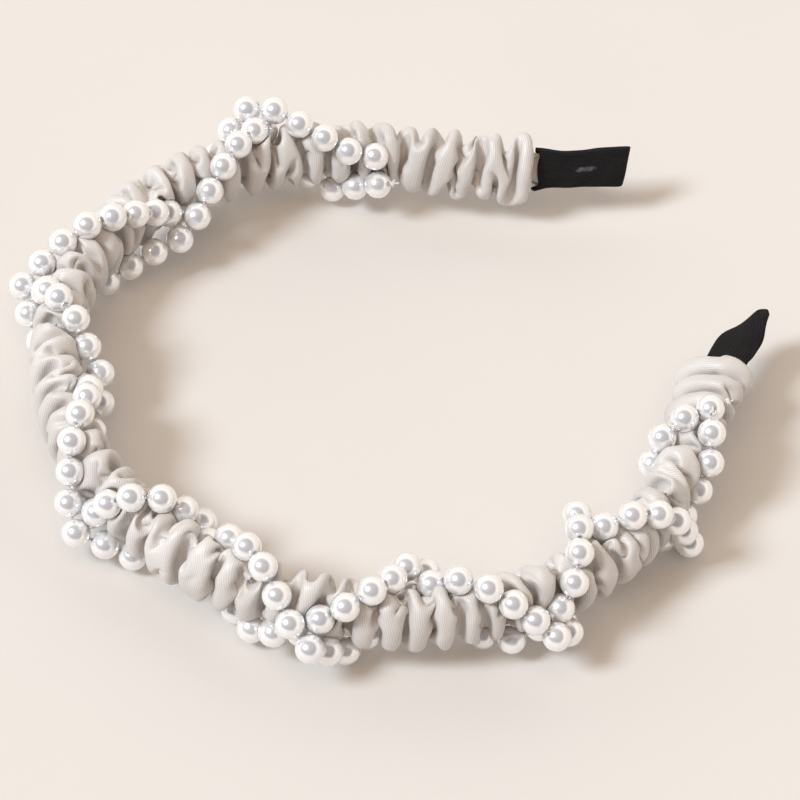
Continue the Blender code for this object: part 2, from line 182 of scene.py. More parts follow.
def mesh_object(name, points, faces, material, slot, uvs=None, round_length=0.0):
    """A smooth closed mesh in the scene, with its material; the slot argument is not used.

    The texture's second axis closes on itself after round_length, so the quads that cross
    that seam get their low corners moved up by it.
    """
    data = bpy.data.meshes.new(name)
    data.from_pydata([tuple(point) for point in points], [], faces)
    data.shade_smooth()
    data.materials.append(material)
    if volume_sign(data) < 0.0:
        data.flip_normals()
    if uvs is not None:
        layer = data.uv_layers.new(name="fabric")
        corners = np.zeros(len(data.loops), int)
        data.loops.foreach_get("vertex_index", corners)
        values = uvs[corners]
        quads = values[: len(values) // 4 * 4, 1].reshape(-1, 4)
        crossing = np.ptp(quads, axis=1, keepdims=True) > round_length / 2.0
        quads += round_length * (crossing & (quads < round_length / 2.0))
        layer.data.foreach_set("uv", values.astype(np.float32).ravel())
    data.validate()
    made = bpy.data.objects.new(name, data)
    bpy.context.scene.collection.objects.link(made)
    return made


def grid_faces(rows, columns):
    """Quads of a grid of points that closes on itself along its columns."""
    row, column = np.meshgrid(np.arange(rows - 1), np.arange(columns), indexing="ij")
    after = (column + 1) % columns
    corners = [row * columns + column, row * columns + after]
    corners += [(row + 1) * columns + after, (row + 1) * columns + column]
    return np.stack(corners, axis=-1).reshape(-1, 4).tolist()


def subdivide(piece, levels):
    """Round a piece off with a subdivision surface."""
    modifier = piece.modifiers.new("smooth", "SUBSURF")
    modifier.levels = levels
    modifier.render_levels = levels


def tube(path, radius, sides):
    """Points and faces of a round closed tube along a path."""
    ways = unit(np.gradient(path, axis=0))
    side = np.array([0.13, 0.27, 0.95])
    rings = []
    angles = 2.0 * np.pi * np.arange(sides) / sides
    for point, way in zip(path, ways):
        side = unit(side - way * np.dot(side, way))
        other = np.cross(way, side)
        circle = np.outer(np.cos(angles), side) + np.outer(np.sin(angles), other)
        rings.append(point + radius * circle)
    points = np.concatenate(rings)
    faces = grid_faces(len(path), sides)
    faces.append(list(range(sides))[::-1])
    faces.append([len(points) - sides + i for i in range(sides)])
    return points, faces


def joined(parts):
    """One list of points and faces from several."""
    points, faces, start = [], [], 0
    for part_points, part_faces in parts:
        points.append(part_points)
        faces += [[start + index for index in face] for face in part_faces]
        start += len(part_points)
    return np.concatenate(points), faces


# ---------------------------------------------------------------- beads, from the CAD runs

BEAD_RADIUS = 3.0 * MM
BEAD_SHOWN_RADIUS = 3.07 * MM
BEAD_HOLE = 0.42 * MM
BEAD_RIM = 0.12 * MM
BEAD_SIDES = 28
BEAD_ROWS = 17

# How a CAD bead's points are told: as one point, and as a star of points on one sphere.
SAME_POINT = 0.01 * MM
SPHERE_TOLERANCE = 0.003 * MM
SPHERE_POINTS = 5

THREAD_RADIUS = 0.25 * MM
THREAD_SIDES = 8
THREAD_PIECES = 4
KNOT_SCALE = 0.24 * MM
KNOT_LOOP_RADIUS = 0.26 * MM
KNOT_TAIL_RADIUS = 0.2 * MM
KNOT_TAIL = (-0.8, 1.5)


def unique_points(node):
    """A CAD node's distinct points, and for each the points it shares an edge with."""
    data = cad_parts[node].data
    points = np.array([vertex.co for vertex in data.vertices], float)
    places = np.round(points / SAME_POINT).astype(int)
    _, first, same = np.unique(places, axis=0, return_index=True, return_inverse=True)
    same = np.asarray(same).ravel()
    links = [set() for _ in first]
    for edge in data.edges:
        a, b = same[edge.vertices[0]], same[edge.vertices[1]]
        if a != b:
            links[a].add(b)
            links[b].add(a)
    return points[first], links


def bead_centres(node):
    """Centres of a run's beads: a point and its neighbours lie on one bead's sphere."""
    points, links = unique_points(node)
    found = []
    for index, near in enumerate(links):
        star = points[[index, *near]]
        if len(star) < SPHERE_POINTS:
            continue
        matrix = np.column_stack([2.0 * star, np.ones(len(star))])
        solution = np.linalg.lstsq(matrix, (star**2).sum(axis=1), rcond=None)[0]
        middle = solution[:3]
        reach = np.linalg.norm(star - middle, axis=1)
        if abs(reach - BEAD_RADIUS).max() < SPHERE_TOLERANCE:
            found.append(middle)
    centres = []
    for middle in found:
        if all(np.linalg.norm(middle - other) > BEAD_RADIUS for other in centres):
            centres.append(middle)
    return np.array(centres)


def in_order(centres, start):
    """Beads chained along their thread, from the one nearest to a start point."""
    left = list(centres)
    chain, place = [], start
    while left:
        index = int(np.argmin([np.linalg.norm(point - place) for point in left]))
        place = left.pop(index)
        chain.append(place)
    return np.array(chain)


def strand_runs(letter):
    """A strand's runs from left to right: node, body and bead centres."""
    runs, place = [], None
    for body in ("left_arm", "crown", "right_arm"):
        nodes = sorted(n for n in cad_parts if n.startswith(f"pearls_{letter}_{body}_"))
        for node in nodes:
            centres = bead_centres(node)
            if place is None:
                arcs = to_band(centres)[:, 0]
                place = centres[arcs.argmin()]
            chain = in_order(centres, place)
            place = chain[-1]
            runs.append((node, body, chain))
    return runs


def bead_template():
    """A bead about +Z with a drilled hole: a ball's outside joined to the hole's wall."""
    lowest = math.asin(BEAD_HOLE / BEAD_SHOWN_RADIUS)
    angles = np.linspace(lowest, math.pi - lowest, BEAD_ROWS)
    profile = [(BEAD_SHOWN_RADIUS * math.sin(a), BEAD_SHOWN_RADIUS * math.cos(a)) for a in angles]
    profile[0] = (BEAD_HOLE + BEAD_RIM, profile[0][1] - BEAD_RIM * 0.5)
    profile[-1] = (BEAD_HOLE + BEAD_RIM, profile[-1][1] + BEAD_RIM * 0.5)
    top = profile[0][1] - BEAD_RIM
    profile += [(BEAD_HOLE, -top), (BEAD_HOLE, top)]
    turn = 2.0 * np.pi * np.arange(BEAD_SIDES) / BEAD_SIDES
    rings = []
    for radius, level in profile:
        ring = [radius * np.cos(turn), radius * np.sin(turn), np.full(BEAD_SIDES, level)]
        rings.append(np.stack(ring, axis=1))
    rings.append(rings[0])
    faces = grid_faces(len(rings), BEAD_SIDES)
    count = (len(rings) - 1) * BEAD_SIDES
    faces = [[index % count for index in face][::-1] for face in faces]
    return np.concatenate(rings[:-1]), faces


def turned_to(direction):
    """Rotation matrix that takes +Z to a direction."""
    return np.array(Vector(direction).to_track_quat("Z", "Y").to_matrix())


def build_strand(letter, runs, material, thread_material):
    """Beads on their runs' bodies, the thread in two halves and its end knots."""
    points, faces = bead_template()
    beads = np.concatenate([chain for _, _, chain in runs])
    ways = unit(np.gradient(beads, axis=0))
    index = 0
    for node, body, chain in runs:
        parts = []
        for middle in chain:
            parts.append((middle + points @ turned_to(ways[index]).T, faces))
            index += 1
        run = mesh_object(node.replace("pearls", "beads"), *joined(parts), material, "pearl")
        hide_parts(node)
        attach(run, body)
    first = beads[0] - (beads[1] - beads[0]) * 0.5
    last = beads[-1] + (beads[-1] - beads[-2]) * 0.5
    path = np.concatenate([[first], beads, [last]])
    steps = np.linspace(0, len(path) - 1, THREAD_PIECES * (len(path) - 1) + 1)
    fine = np.stack([np.interp(steps, np.arange(len(path)), path[:, k]) for k in range(3)], 1)
    middle = int(np.abs(to_band(path)[:, 0]).argmin()) * THREAD_PIECES
    for side, part in (("left", fine[: middle + 1]), ("right", fine[middle:])):
        shape = tube(part, THREAD_RADIUS, THREAD_SIDES)
        name = f"bead_thread_{letter}_{side}"
        thread = mesh_object(name, *shape, thread_material, "thread")
        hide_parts(f"thread_{letter}_crown", f"thread_{letter}_{side}_arm")
        blend_at_hinge(thread)
    for side, way in (("left", -ways[0]), ("right", ways[-1])):
        low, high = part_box(f"knot_{letter}_{side}")
        build_knot(f"knot_{letter}_{side}", np.array((low + high) / 2.0), way, thread_material)


def build_knot(node, middle, way, material):
    """A small tied knot: a thread wound as a trefoil, with a short tail."""
    turn = np.linspace(0.0, 2.0 * np.pi, 49)
    loop = np.stack([
        np.sin(turn) + 2.0 * np.sin(2.0 * turn),
        np.cos(turn) - 2.0 * np.cos(2.0 * turn),
        -np.sin(3.0 * turn),
    ], axis=1)
    loop = middle + (loop * KNOT_SCALE) @ turned_to(way).T
    tail = middle + np.outer(np.linspace(*KNOT_TAIL, 6), way) * MM
    parts = [
        tube(loop, KNOT_LOOP_RADIUS, THREAD_SIDES), tube(tail, KNOT_TAIL_RADIUS, THREAD_SIDES)
    ]
    knot = mesh_object("tied_" + node, *joined(parts), material, "thread")
    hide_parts(node)
    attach(knot, "left_arm" if "left" in node else "right_arm")


def blend_at_hinge(piece):
    """Bake a piece's placement into its mesh."""
    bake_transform(piece)


# ---------------------------------------------------------------- the gathered satin sleeve

# The tube of fabric: how much longer it is than the band, its girth, and its grid.
SLEEVE_HALF_ARC = 186.6 * MM
SLEEVE_GATHER = 2.15
SLEEVE_CELL = 0.72 * MM
SLEEVE_ROUND = 37.5 * MM
SLEEVE_COLUMNS = 44
SLEEVE_SPLIT_ARC = 0.5 * MM

# Half sizes of its section, as (depth, height): where it starts, what it stays outside of,
# and what it stays within. It narrows over the end taper to fit into the covers.
SLEEVE_MIDDLE = (3.1 * MM, 6.0 * MM)
SLEEVE_ENDS = (1.1 * MM, 4.45 * MM)
SLEEVE_CORE = (0.95 * MM, 4.15 * MM)
SLEEVE_LIMIT = (5.6 * MM, 9.0 * MM)
SLEEVE_END_TAPER = 9.0 * MM
SLEEVE_END_ROOM = 0.1 * MM
SLEEVE_TUCK = 1.2 * MM
SLEEVE_TUCK_TAPER = 3.0 * MM
BEAD_GAP = 0.08 * MM

# The folds that it starts with.
FOLD_LENGTH = 6.6 * MM
FOLD_SPREAD = 0.45
FOLD_REACH = 10.0 * MM
FOLD_DEPTH = 1.2 * MM
FOLD_SEED = 8

# The springs, as the share of an error that they put right in one step, pushing and pulling.
# A bending spring joins points that are several cells apart and only pushes.
SLEEVE_STEPS = 420
SLEEVE_MOMENTUM = 0.82
SLEEVE_PRESSURE = 0.005 * MM
LENGTHWISE_HOLD = (0.9, 0.9)
ROUND_HOLD = (0.12, 0.55)
SLANTED_HOLD = (0.22, 0.22)
LENGTHWISE_BENDING = ((2, 0.4), (4, 0.14))
ROUND_BENDING = 0.12
HOME_PULL = 0.006
NEAR_BEADS = 4
SMOOTHING_ROUNDS = 2
SMOOTHING = 0.35


def band_noise(rows, columns, row_step, column_step, wave, spread, reach, seed):
    """Random folds of about one wavelength along the rows, long in the columns' direction."""
    rng = np.random.default_rng(seed)
    white = rng.standard_normal((rows, columns))
    across = np.fft.fftfreq(rows, row_step)[:, None]
    around = np.fft.fftfreq(columns, column_step)[None, :]
    keep = np.exp(-(((np.abs(across) - 1.0 / wave) * wave / spread) ** 2))
    keep = keep * np.exp(-((around * reach) ** 2))
    field = np.real(np.fft.ifft2(np.fft.fft2(white) * keep))
    return field / field.std()


def ellipse_level(points, size):
    """How far out points are in their section, where 1 is on an ellipse of that half size."""
    return np.sqrt((points[..., 1] / size[0]) ** 2 + (points[..., 2] / size[1]) ** 2)


def pull_pairs(near, far, rest, push, pull):
    """Half the correction that brings pairs of points towards their rest distance."""
    step = far - near
    length = np.sqrt((step**2).sum(axis=-1, keepdims=True)) + 1e-9
    change = 1.0 - rest / length
    return step * change * np.where(change < 0.0, push, pull) * 0.5


def grid_normals(points):
    """Outward unit normals of a tube's grid of points."""
    along = np.gradient(points, axis=0)
    around = np.roll(points, -1, 1) - np.roll(points, 1, 1)
    return -unit(np.cross(along, around) + 1e-12)


def simulate_sleeve(beads, steps):
    """Band coordinates of a gathered fabric tube: cloth pressed together along the band.

    The cloth is a grid of springs that are longer along the band than the room they have,
    so it buckles into folds. It stays outside the strip and the beads.
    """
    length = 2.0 * SLEEVE_HALF_ARC
    rows = int(length * SLEEVE_GATHER / SLEEVE_CELL)
    columns = SLEEVE_COLUMNS
    around = SLEEVE_ROUND / columns
    slanted = math.hypot(SLEEVE_CELL, around)
    arcs = np.linspace(-SLEEVE_HALF_ARC, SLEEVE_HALF_ARC, rows)
    angles = 2.0 * np.pi * np.arange(columns) / columns - np.pi
    share = ease(np.clip((SLEEVE_HALF_ARC - np.abs(arcs)) / SLEEVE_END_TAPER, 0.0, 1.0))
    sizes = [end + (middle - end) * share for middle, end in zip(SLEEVE_MIDDLE, SLEEVE_ENDS)]
    folds = band_noise(
        rows, columns, length / rows, around, FOLD_LENGTH, FOLD_SPREAD, FOLD_REACH, FOLD_SEED
    )
    folds = folds * FOLD_DEPTH * share[:, None]
    points = np.stack([
        np.repeat(arcs[:, None], columns, axis=1),
        (sizes[0][:, None] + folds) * np.cos(angles)[None, :],
        (sizes[1][:, None] + folds) * np.sin(angles)[None, :],
    ], axis=-1)
    ends = points[[0, 1, -2, -1]].copy()
    home = points[..., 0].copy()

    flat = points.reshape(-1, 3)
    gaps = ((flat[:, None, :] - beads[None, :, :]) ** 2).sum(axis=2)
    near = np.argsort(gaps, axis=1)[:, :NEAR_BEADS].reshape(rows, columns, NEAR_BEADS)

    end_limit = np.array(SLEEVE_ENDS) + SLEEVE_END_ROOM
    previous = points.copy()
    for _ in range(steps):
        moved = points + SLEEVE_MOMENTUM * (points - previous)
        previous = points
        points = moved
        change = np.zeros_like(points)
        move = pull_pairs(points[:-1], points[1:], SLEEVE_CELL, *LENGTHWISE_HOLD)
        change[:-1] += move * 0.5
        change[1:] -= move * 0.5
        move = pull_pairs(points, np.roll(points, -1, 1), around, *ROUND_HOLD)
        change += move * 0.5 - np.roll(move, 1, 1) * 0.5
        for shift in (1, -1):
            other = np.roll(points, -shift, 1)[1:]
            move = pull_pairs(points[:-1], other, slanted, *SLANTED_HOLD)
            change[:-1] += move * 0.5
            change[1:] -= np.roll(move, shift, 1) * 0.5
        for stride, hold in LENGTHWISE_BENDING:
            move = pull_pairs(points[:-stride], points[stride:], stride * SLEEVE_CELL, hold, 0.0)
            change[:-stride] += move
            change[stride:] -= move
        move = pull_pairs(points, np.roll(points, -2, 1), 2.0 * around, ROUND_BENDING, 0.0)
        change += move - np.roll(move, 2, 1)
        points = points + change
        points[..., 0] += HOME_PULL * (home - points[..., 0])
        points[1:-1] += SLEEVE_PRESSURE * grid_normals(points)[1:-1]

        level = ellipse_level(points, SLEEVE_CORE)
        out = np.maximum(1.0 / np.maximum(level, 1e-6), 1.0)
        points[..., 1:] *= out[..., None]
        free = SLEEVE_HALF_ARC - np.abs(points[..., :1]) - SLEEVE_TUCK
        room = ease(np.clip(free / SLEEVE_TUCK_TAPER, 0.0, 1.0))
        limit = end_limit + (np.array(SLEEVE_LIMIT) - end_limit) * room
        level = np.sqrt(((points[..., 1:] / limit) ** 2).sum(axis=-1))
        soft = 0.5 + 0.5 * (1.0 - room[..., 0])
        back = np.where(level > 1.0, 1.0 - soft * (1.0 - 1.0 / np.maximum(level, 1e-6)), 1.0)
        points[..., 1:] *= back[..., None]
        for k in range(NEAR_BEADS):
            offset = points - beads[near[..., k]]
            gap = np.sqrt((offset**2).sum(axis=-1))
            lack = np.maximum(BEAD_RADIUS + BEAD_GAP - gap, 0.0)
            points += offset * (lack / np.maximum(gap, 1e-6))[..., None]
        points[:2], points[-2:] = ends[:2], ends[2:]
    return points


def smooth_grid(points, rounds):
    """Take the finest ripples out of a tube's grid of points."""
    for _ in range(rounds):
        mean = np.roll(points, 1, 1) + np.roll(points, -1, 1)
        mean[1:-1] += points[:-2] + points[2:]
        points[1:-1] += SMOOTHING * (mean[1:-1] / 4.0 - points[1:-1])
    return points


def build_sleeve(beads, material):
    """The sleeve in two halves that meet at the crown."""
    steps = SLEEVE_STEPS
    points = smooth_grid(simulate_sleeve(to_band(beads), steps), SMOOTHING_ROUNDS)
    rows, columns, _ = points.shape
    world = to_world(points)
    row, column = np.meshgrid(np.arange(rows), np.arange(columns), indexing="ij")
    uvs = np.stack([row * SLEEVE_CELL, column * SLEEVE_ROUND / columns], axis=-1) / MM
    split = int(np.abs(points[..., 0].mean(axis=1) - SLEEVE_SPLIT_ARC).argmin())
    for side, part in (("left", slice(0, split + 1)), ("right", slice(split, rows))):
        shape = world[part].reshape(-1, 3), grid_faces(len(world[part]), columns)
        wrap = uvs[part].reshape(-1, 2), SLEEVE_ROUND / MM
        sleeve = mesh_object(f"satin_sleeve_{side}", *shape, material, "satin", *wrap)
        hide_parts(f"sleeve_{side}_arm", "sleeve_crown")
        subdivide(sleeve, 1)
        blend_at_hinge(sleeve)


# ---------------------------------------------------------------- the end covers

# Where the covers start and end. A slant moves a tip's top edge on and its bottom edge back.
COVER_MOUTH_ARC = 185.3 * MM
LEFT_COVER_TIP_ARC = 0.206
RIGHT_COVER_TIP_ARC = 0.203
LEFT_COVER_SLANT = 0.8 * MM
RIGHT_COVER_SLANT = 0.3 * MM
LEFT_COVER_SEED = 21
RIGHT_COVER_SEED = 22

# The section: powers below 1 square it off in depth and in height. It flares at the mouth
# and closes at the tip, over a share of the cover's length.
COVER_HALF_DEPTH = 1.5 * MM
COVER_SQUARE = (0.55, 0.8)
COVER_FLARE = 0.22 * MM
COVER_FLARE_SHARE = 0.06
COVER_TIP_SHARE = 0.05
COVER_TIP_CLOSING = 0.96
COVER_HEM_ROWS = 8
COVER_HEM_SCALE = 0.88
MOUTH_WAVE = 0.35 * MM
MOUTH_SWEEP = 0.7 * MM

# The grid of a cover, about how far apart its rows and columns are, and its unevenness:
# the depth of it, and its wavelength, spread and reach.
COVER_ROWS = 72
COVER_COLUMNS = 216
COVER_GRID = (0.3 * MM, 0.1 * MM)
COVER_WOBBLE = 0.07 * MM
COVER_WOBBLE_WAVE = (9.0 * MM, 0.6, 4.0 * MM)

# Shares of a cover's length from its mouth, and half heights there in mm, blurred over rows.
COVER_BLUR = 4
LEFT_COVER_SHAPE = ((0.0, 0.06, 0.33, 0.66, 0.93, 1.0), (5.0, 4.75, 4.05, 4.5, 4.6, 4.45))
RIGHT_COVER_SHAPE = ((0.0, 0.12, 0.38, 0.6, 0.85, 1.0), (4.75, 4.45, 4.7, 4.8, 3.9, 2.8))

RIB_PITCH = 0.62 * MM
RIB_DEPTH = 0.09 * MM
RIB_HALF_HEIGHT = 4.7 * MM


def build_cover(node, side, tip_arc, shape, slant, seed, material):
    """A flat pocket of ribbed fabric with a soft edge, drawn over the end of the strip."""
    rows, columns = COVER_ROWS, COVER_COLUMNS
    lengthwise = np.linspace(0.0, 1.0, rows)
    angles = 2.0 * np.pi * np.arange(columns) / columns
    across, upward = np.cos(angles), np.sin(angles)
    depth_shape = np.copysign(np.abs(across) ** COVER_SQUARE[0], across)
    height_shape = np.copysign(np.abs(upward) ** COVER_SQUARE[1], upward)
    half_height = np.pad(np.interp(lengthwise, *shape) * MM, COVER_BLUR, "edge")
    window = 2 * COVER_BLUR + 1
    half_height = np.convolve(half_height, np.ones(window) / window, "valid")
    tip = np.clip((1.0 - lengthwise) / COVER_TIP_SHARE, 0.0, 1.0)
    closing = np.sqrt(1.0 - (1.0 - tip) ** 2 * COVER_TIP_CLOSING)
    flare = COVER_FLARE * np.exp(-lengthwise / COVER_FLARE_SHARE)
    half_depth = COVER_HALF_DEPTH * closing + flare
    wobble = band_noise(rows, columns, *COVER_GRID, *COVER_WOBBLE_WAVE, seed) * COVER_WOBBLE
    rib_count = int(round(2.0 * (COVER_HALF_DEPTH + 2.0 * RIB_HALF_HEIGHT) / RIB_PITCH))
    edge_length = np.cumsum(np.hypot(
        np.diff(COVER_HALF_DEPTH * depth_shape, append=COVER_HALF_DEPTH * depth_shape[0]),
        np.diff(RIB_HALF_HEIGHT * height_shape, append=RIB_HALF_HEIGHT * height_shape[0]),
    ))
    ribs = RIB_DEPTH * np.cos(2.0 * np.pi * rib_count * edge_length / edge_length[-1])
    ribs = ribs[None, :] * closing[:, None] + wobble * closing[:, None]
    depth = (half_depth[:, None] + ribs) * depth_shape[None, :]
    height = (half_height[:, None] + ribs) * height_shape[None, :]
    mouth = MOUTH_WAVE * np.sin(3.0 * angles + seed) - MOUTH_SWEEP * np.abs(upward) ** 6
    start = COVER_MOUTH_ARC + mouth
    stop = tip_arc + slant * upward
    arcs = start[None, :] + (stop - start)[None, :] * lengthwise[:, None]
    local = np.stack([side * arcs, depth, height], axis=-1)
    inner = local[:COVER_HEM_ROWS][::-1].copy()
    inner[..., 1:] *= COVER_HEM_SCALE
    local = np.concatenate([inner, local])
    world = to_world(local).reshape(-1, 3)
    faces = grid_faces(len(local), columns)
    faces.append([len(world) - columns + i for i in range(columns)])
    row, column = np.meshgrid(np.arange(len(local)), np.arange(columns), indexing="ij")
    girth = edge_length[-1] / MM
    uvs = np.stack([row * COVER_GRID[0] / MM, column * girth / columns], axis=-1)
    wrap = uvs.reshape(-1, 2), girth
    cover = mesh_object("ribbed_" + node, world, faces, material, "ribbed_black", *wrap)
    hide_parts(node)
    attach(cover, node.split("_")[0] + "_arm")


# ---------------------------------------------------------------- materials

# Periods are in mm. Colours in pairs are the stops of a ramp: a place and a colour.
WEAVE_PERIOD = 0.5
WEAVE_SLANT = 0.3
SATIN_COLORS = (0.2, (0.50, 0.466, 0.438)), (0.8, (0.715, 0.68, 0.655))
SATIN_SHEEN = (1.0, 0.98, 0.96, 1.0)
PEARL_COLORS = (
    (0.0, (0.92, 0.915, 0.925)), (0.5, (0.95, 0.95, 0.96)), (1.0, (0.97, 0.955, 0.95)),
)
# Painted sheen: the whiter colour that the pearls' base colour turns to at their rims, standing in
# for the bright room that the edges mirror.
PEARL_PAINTED_RIM_SHEEN = (1.0, 0.99, 0.985, 1.0)
COVER_THREAD_PERIOD = 0.28
COVER_COLORS = (0.3, (0.005, 0.0045, 0.0045)), (0.85, (0.017, 0.0145, 0.014))
THREAD_COLORS = (0.3, (0.78, 0.76, 0.73)), (0.8, (0.9, 0.88, 0.86))
STEEL_COLORS = (0.3, (0.42, 0.43, 0.45)), (0.7, (0.62, 0.63, 0.65))
STEEL_STRETCH = (40.0, 40.0, 3000.0)
FLOOR_COLORS = (0.3, (0.665, 0.63, 0.60)), (0.7, (0.68, 0.645, 0.615))

# A smear of dried glue on the left cover: its middle in band coordinates, and its half sizes.
GLUE_SPOT = (-196.3 * MM, -1.5 * MM, 0.4 * MM)
GLUE_HALF_SIZE = (2.8 * MM, 0.7 * MM)
GLUE_COLOR = (0.11, 0.11, 0.13, 1.0)
GLUE_FADE = (0.30, 0.62)


def set_stops(ramp, stops):
    """Give a new colour ramp its stops, as pairs of a place and a colour."""
    while len(ramp.elements) < len(stops):
        ramp.elements.new(0.5)
    for element, (place, color) in zip(ramp.elements, stops):
        element.position = place
        element.color = (*color, 1.0)


class Shader:
    """A node material under construction."""

    def __init__(self, name, **settings):
        self.material = bpy.data.materials.new(name)
        self.material.use_nodes = True
        self.tree = self.material.node_tree
        self.surface = self.tree.nodes["Principled BSDF"]
        self.place = self.node("ShaderNodeTexCoord").outputs
        for key, value in settings.items():
            self.surface.inputs[key.replace("_", " ")].default_value = value

    def node(self, kind, inputs=None, **settings):
        """A new node whose inputs are links or values."""
        made = self.tree.nodes.new(kind)
        for key, value in settings.items():
            setattr(made, key, value)
        for key, value in (inputs or {}).items():
            if isinstance(value, bpy.types.NodeSocket):
                self.tree.links.new(value, made.inputs[key])
            else:
                made.inputs[key].default_value = value
        return made

    def math(self, operation, first, second=0.0, third=0.0):
        made = self.node("ShaderNodeMath", {0: first, 1: second, 2: third}, operation=operation)
        return made.outputs[0]

    def ramp(self, factor, stops):
        made = self.node("ShaderNodeValToRGB", {0: factor})
        set_stops(made.color_ramp, stops)
        return made.outputs["Color"]

    def noise(self, scale, detail, place=None):
        """Noise from 0 to 1, by default over the object's own coordinates."""
        inputs = {"Vector": place or self.place["Object"], "Scale": scale, "Detail": detail}
        return self.node("ShaderNodeTexNoise", inputs).outputs[0]

    def waves(self, position, period):
        """A sine over a position, from -1 to 1."""
        return self.math("SINE", self.math("MULTIPLY", position, 2.0 * math.pi / period))

    def bump(self, height, strength, distance, **normal):
        inputs = {"Height": height, "Strength": strength, "Distance": distance, **normal}
        return self.node("ShaderNodeBump", inputs).outputs[0]

    def mix(self, factor, first, second):
        inputs = {"Factor": factor, 6: first, 7: second}
        return self.node("ShaderNodeMix", inputs, data_type="RGBA").outputs[2]

    def link(self, output, name):
        self.tree.links.new(output, self.surface.inputs[name])


def satin_material():
    """Greige satin: fine crosswise weave, a soft sheen and slightly uneven dye."""
    satin = Shader("satin_fabric", Roughness=0.42, Specular_IOR_Level=0.7, Sheen_Weight=0.15)
    uv = satin.node("ShaderNodeSeparateXYZ", {0: satin.place["UV"]}).outputs
    slant = satin.math("MULTIPLY_ADD", uv[1], WEAVE_SLANT, uv[0])
    weave = satin.math("MULTIPLY_ADD", satin.waves(slant, WEAVE_PERIOD), 0.5, 0.5)
    slub = satin.noise(240.0, 3.0)
    cloud = satin.noise(70.0, 2.0)
    tone = satin.math("MULTIPLY_ADD", weave, 0.35, satin.math("MULTIPLY", cloud, 0.65))
    satin.link(satin.ramp(tone, SATIN_COLORS), "Base Color")
    satin.link(satin.math("MULTIPLY_ADD", slub, 0.2, 0.32), "Roughness")
    satin.surface.inputs["Sheen Tint"].default_value = SATIN_SHEEN
    coarse = satin.bump(slub, 0.25, 0.35 * MM)
    satin.link(satin.bump(weave, 0.6, 0.06 * MM, Normal=coarse), "Normal")
    return satin.material


def pearl_material():
    """White imitation pearl: a nacre-like base under a clear coat, a little different per bead,
    with a painted sheen at the rims.
    """
    pearl = Shader("pearl_coat", Roughness=0.2, Metallic=0.6, Coat_Weight=0.35, Coat_Roughness=0.1)
    geometry = pearl.node("ShaderNodeNewGeometry")
    tone = pearl.ramp(geometry.outputs["Random Per Island"], PEARL_COLORS)
    # Painted sheen: the base colour whitens towards each bead's rim by how much the surface turns
    # away from the view.
    facing = pearl.node("ShaderNodeLayerWeight", {"Blend": 0.35}).outputs["Facing"]
    pearl.link(pearl.mix(facing, tone, PEARL_PAINTED_RIM_SHEEN), "Base Color")
    grain = pearl.noise(900.0, 2.0)
    pearl.link(pearl.math("MULTIPLY_ADD", grain, 0.08, 0.18), "Roughness")
    pearl.link(pearl.bump(grain, 0.05, 0.05 * MM), "Normal")
    return pearl.material


def glue_smear(shader):
    """Where the inner face of the left cover has a shiny smear of dried glue: 0 to 1."""
    middle = to_world(np.array([GLUE_SPOT]))[0]
    along = section_axes(np.array([GLUE_SPOT[0]]))[0][0]
    offset = shader.node(
        "ShaderNodeVectorMath", {0: shader.place["Object"], 1: tuple(middle)}, operation="SUBTRACT"
    ).outputs[0]
    run = shader.node(
        "ShaderNodeVectorMath", {0: offset, 1: tuple(along)}, operation="DOT_PRODUCT"
    ).outputs["Value"]
    far = shader.node("ShaderNodeVectorMath", {0: offset}, operation="LENGTH").outputs["Value"]
    height = shader.node("ShaderNodeSeparateXYZ", {0: offset}).outputs[2]
    level = 0.0
    for distance, half_size in zip((run, height), GLUE_HALF_SIZE):
        share = shader.math("ABSOLUTE", shader.math("MULTIPLY", distance, 1.0 / half_size))
        level = shader.math("ADD", shader.math("POWER", share, 2.0), level)
    cloud = shader.noise(550.0, 2.0)
    shown = shader.math("SUBTRACT", cloud, shader.math("MULTIPLY", level, 0.25))
    fade = {"Value": shown, "From Min": GLUE_FADE[0], "From Max": GLUE_FADE[1]}
    shown = shader.node("ShaderNodeMapRange", fade).outputs["Result"]
    return shader.math("MULTIPLY", shown, shader.math("LESS_THAN", far, GLUE_HALF_SIZE[0]))


def ribbed_material():
    """Matte black ribbed fabric: threads across the ribs, faint lint and the smear of glue."""
    black = Shader("black_ribbed_fabric", Roughness=0.85, Specular_IOR_Level=0.25)
    uv = black.node("ShaderNodeSeparateXYZ", {0: black.place["UV"]}).outputs
    threads = black.waves(uv[0], COVER_THREAD_PERIOD)
    lint = black.noise(1400.0, 3.0)
    cloth = black.ramp(black.math("MULTIPLY_ADD", threads, 0.15, lint), COVER_COLORS)
    smear = glue_smear(black)
    black.link(black.mix(smear, cloth, GLUE_COLOR), "Base Color")
    rough = black.math("MULTIPLY_ADD", lint, 0.2, 0.72)
    black.link(black.math("MULTIPLY_ADD", smear, -0.7, rough), "Roughness")
    black.link(smear, "Coat Weight")
    height = black.math("MULTIPLY_ADD", threads, 0.5, lint)
    black.link(black.bump(height, 0.5, 0.06 * MM), "Normal")
    return black.material


def thread_material():
    """White nylon thread: twisted, slightly clear."""
    thread = Shader("nylon_thread", Roughness=0.4, Transmission_Weight=0.25)
    twist = thread.noise(2500.0, 1.0)
    thread.link(thread.ramp(twist, THREAD_COLORS), "Base Color")
    thread.link(thread.bump(twist, 0.4, 0.05 * MM), "Normal")
    return thread.material


def steel_material():
    """Spring steel strip with fine lengthwise brushing."""
    steel = Shader("brushed_spring_steel", Metallic=1.0, Roughness=0.32)
    inputs = {"Vector": steel.place["Object"], "Scale": STEEL_STRETCH}
    stretched = steel.node("ShaderNodeMapping", inputs).outputs[0]
    brush = steel.noise(1.0, 4.0, stretched)
    steel.link(steel.ramp(brush, STEEL_COLORS), "Base Color")
    steel.link(steel.math("MULTIPLY_ADD", brush, 0.25, 0.2), "Roughness")
    return steel.material


# ---------------------------------------------------------------- floor, light and camera

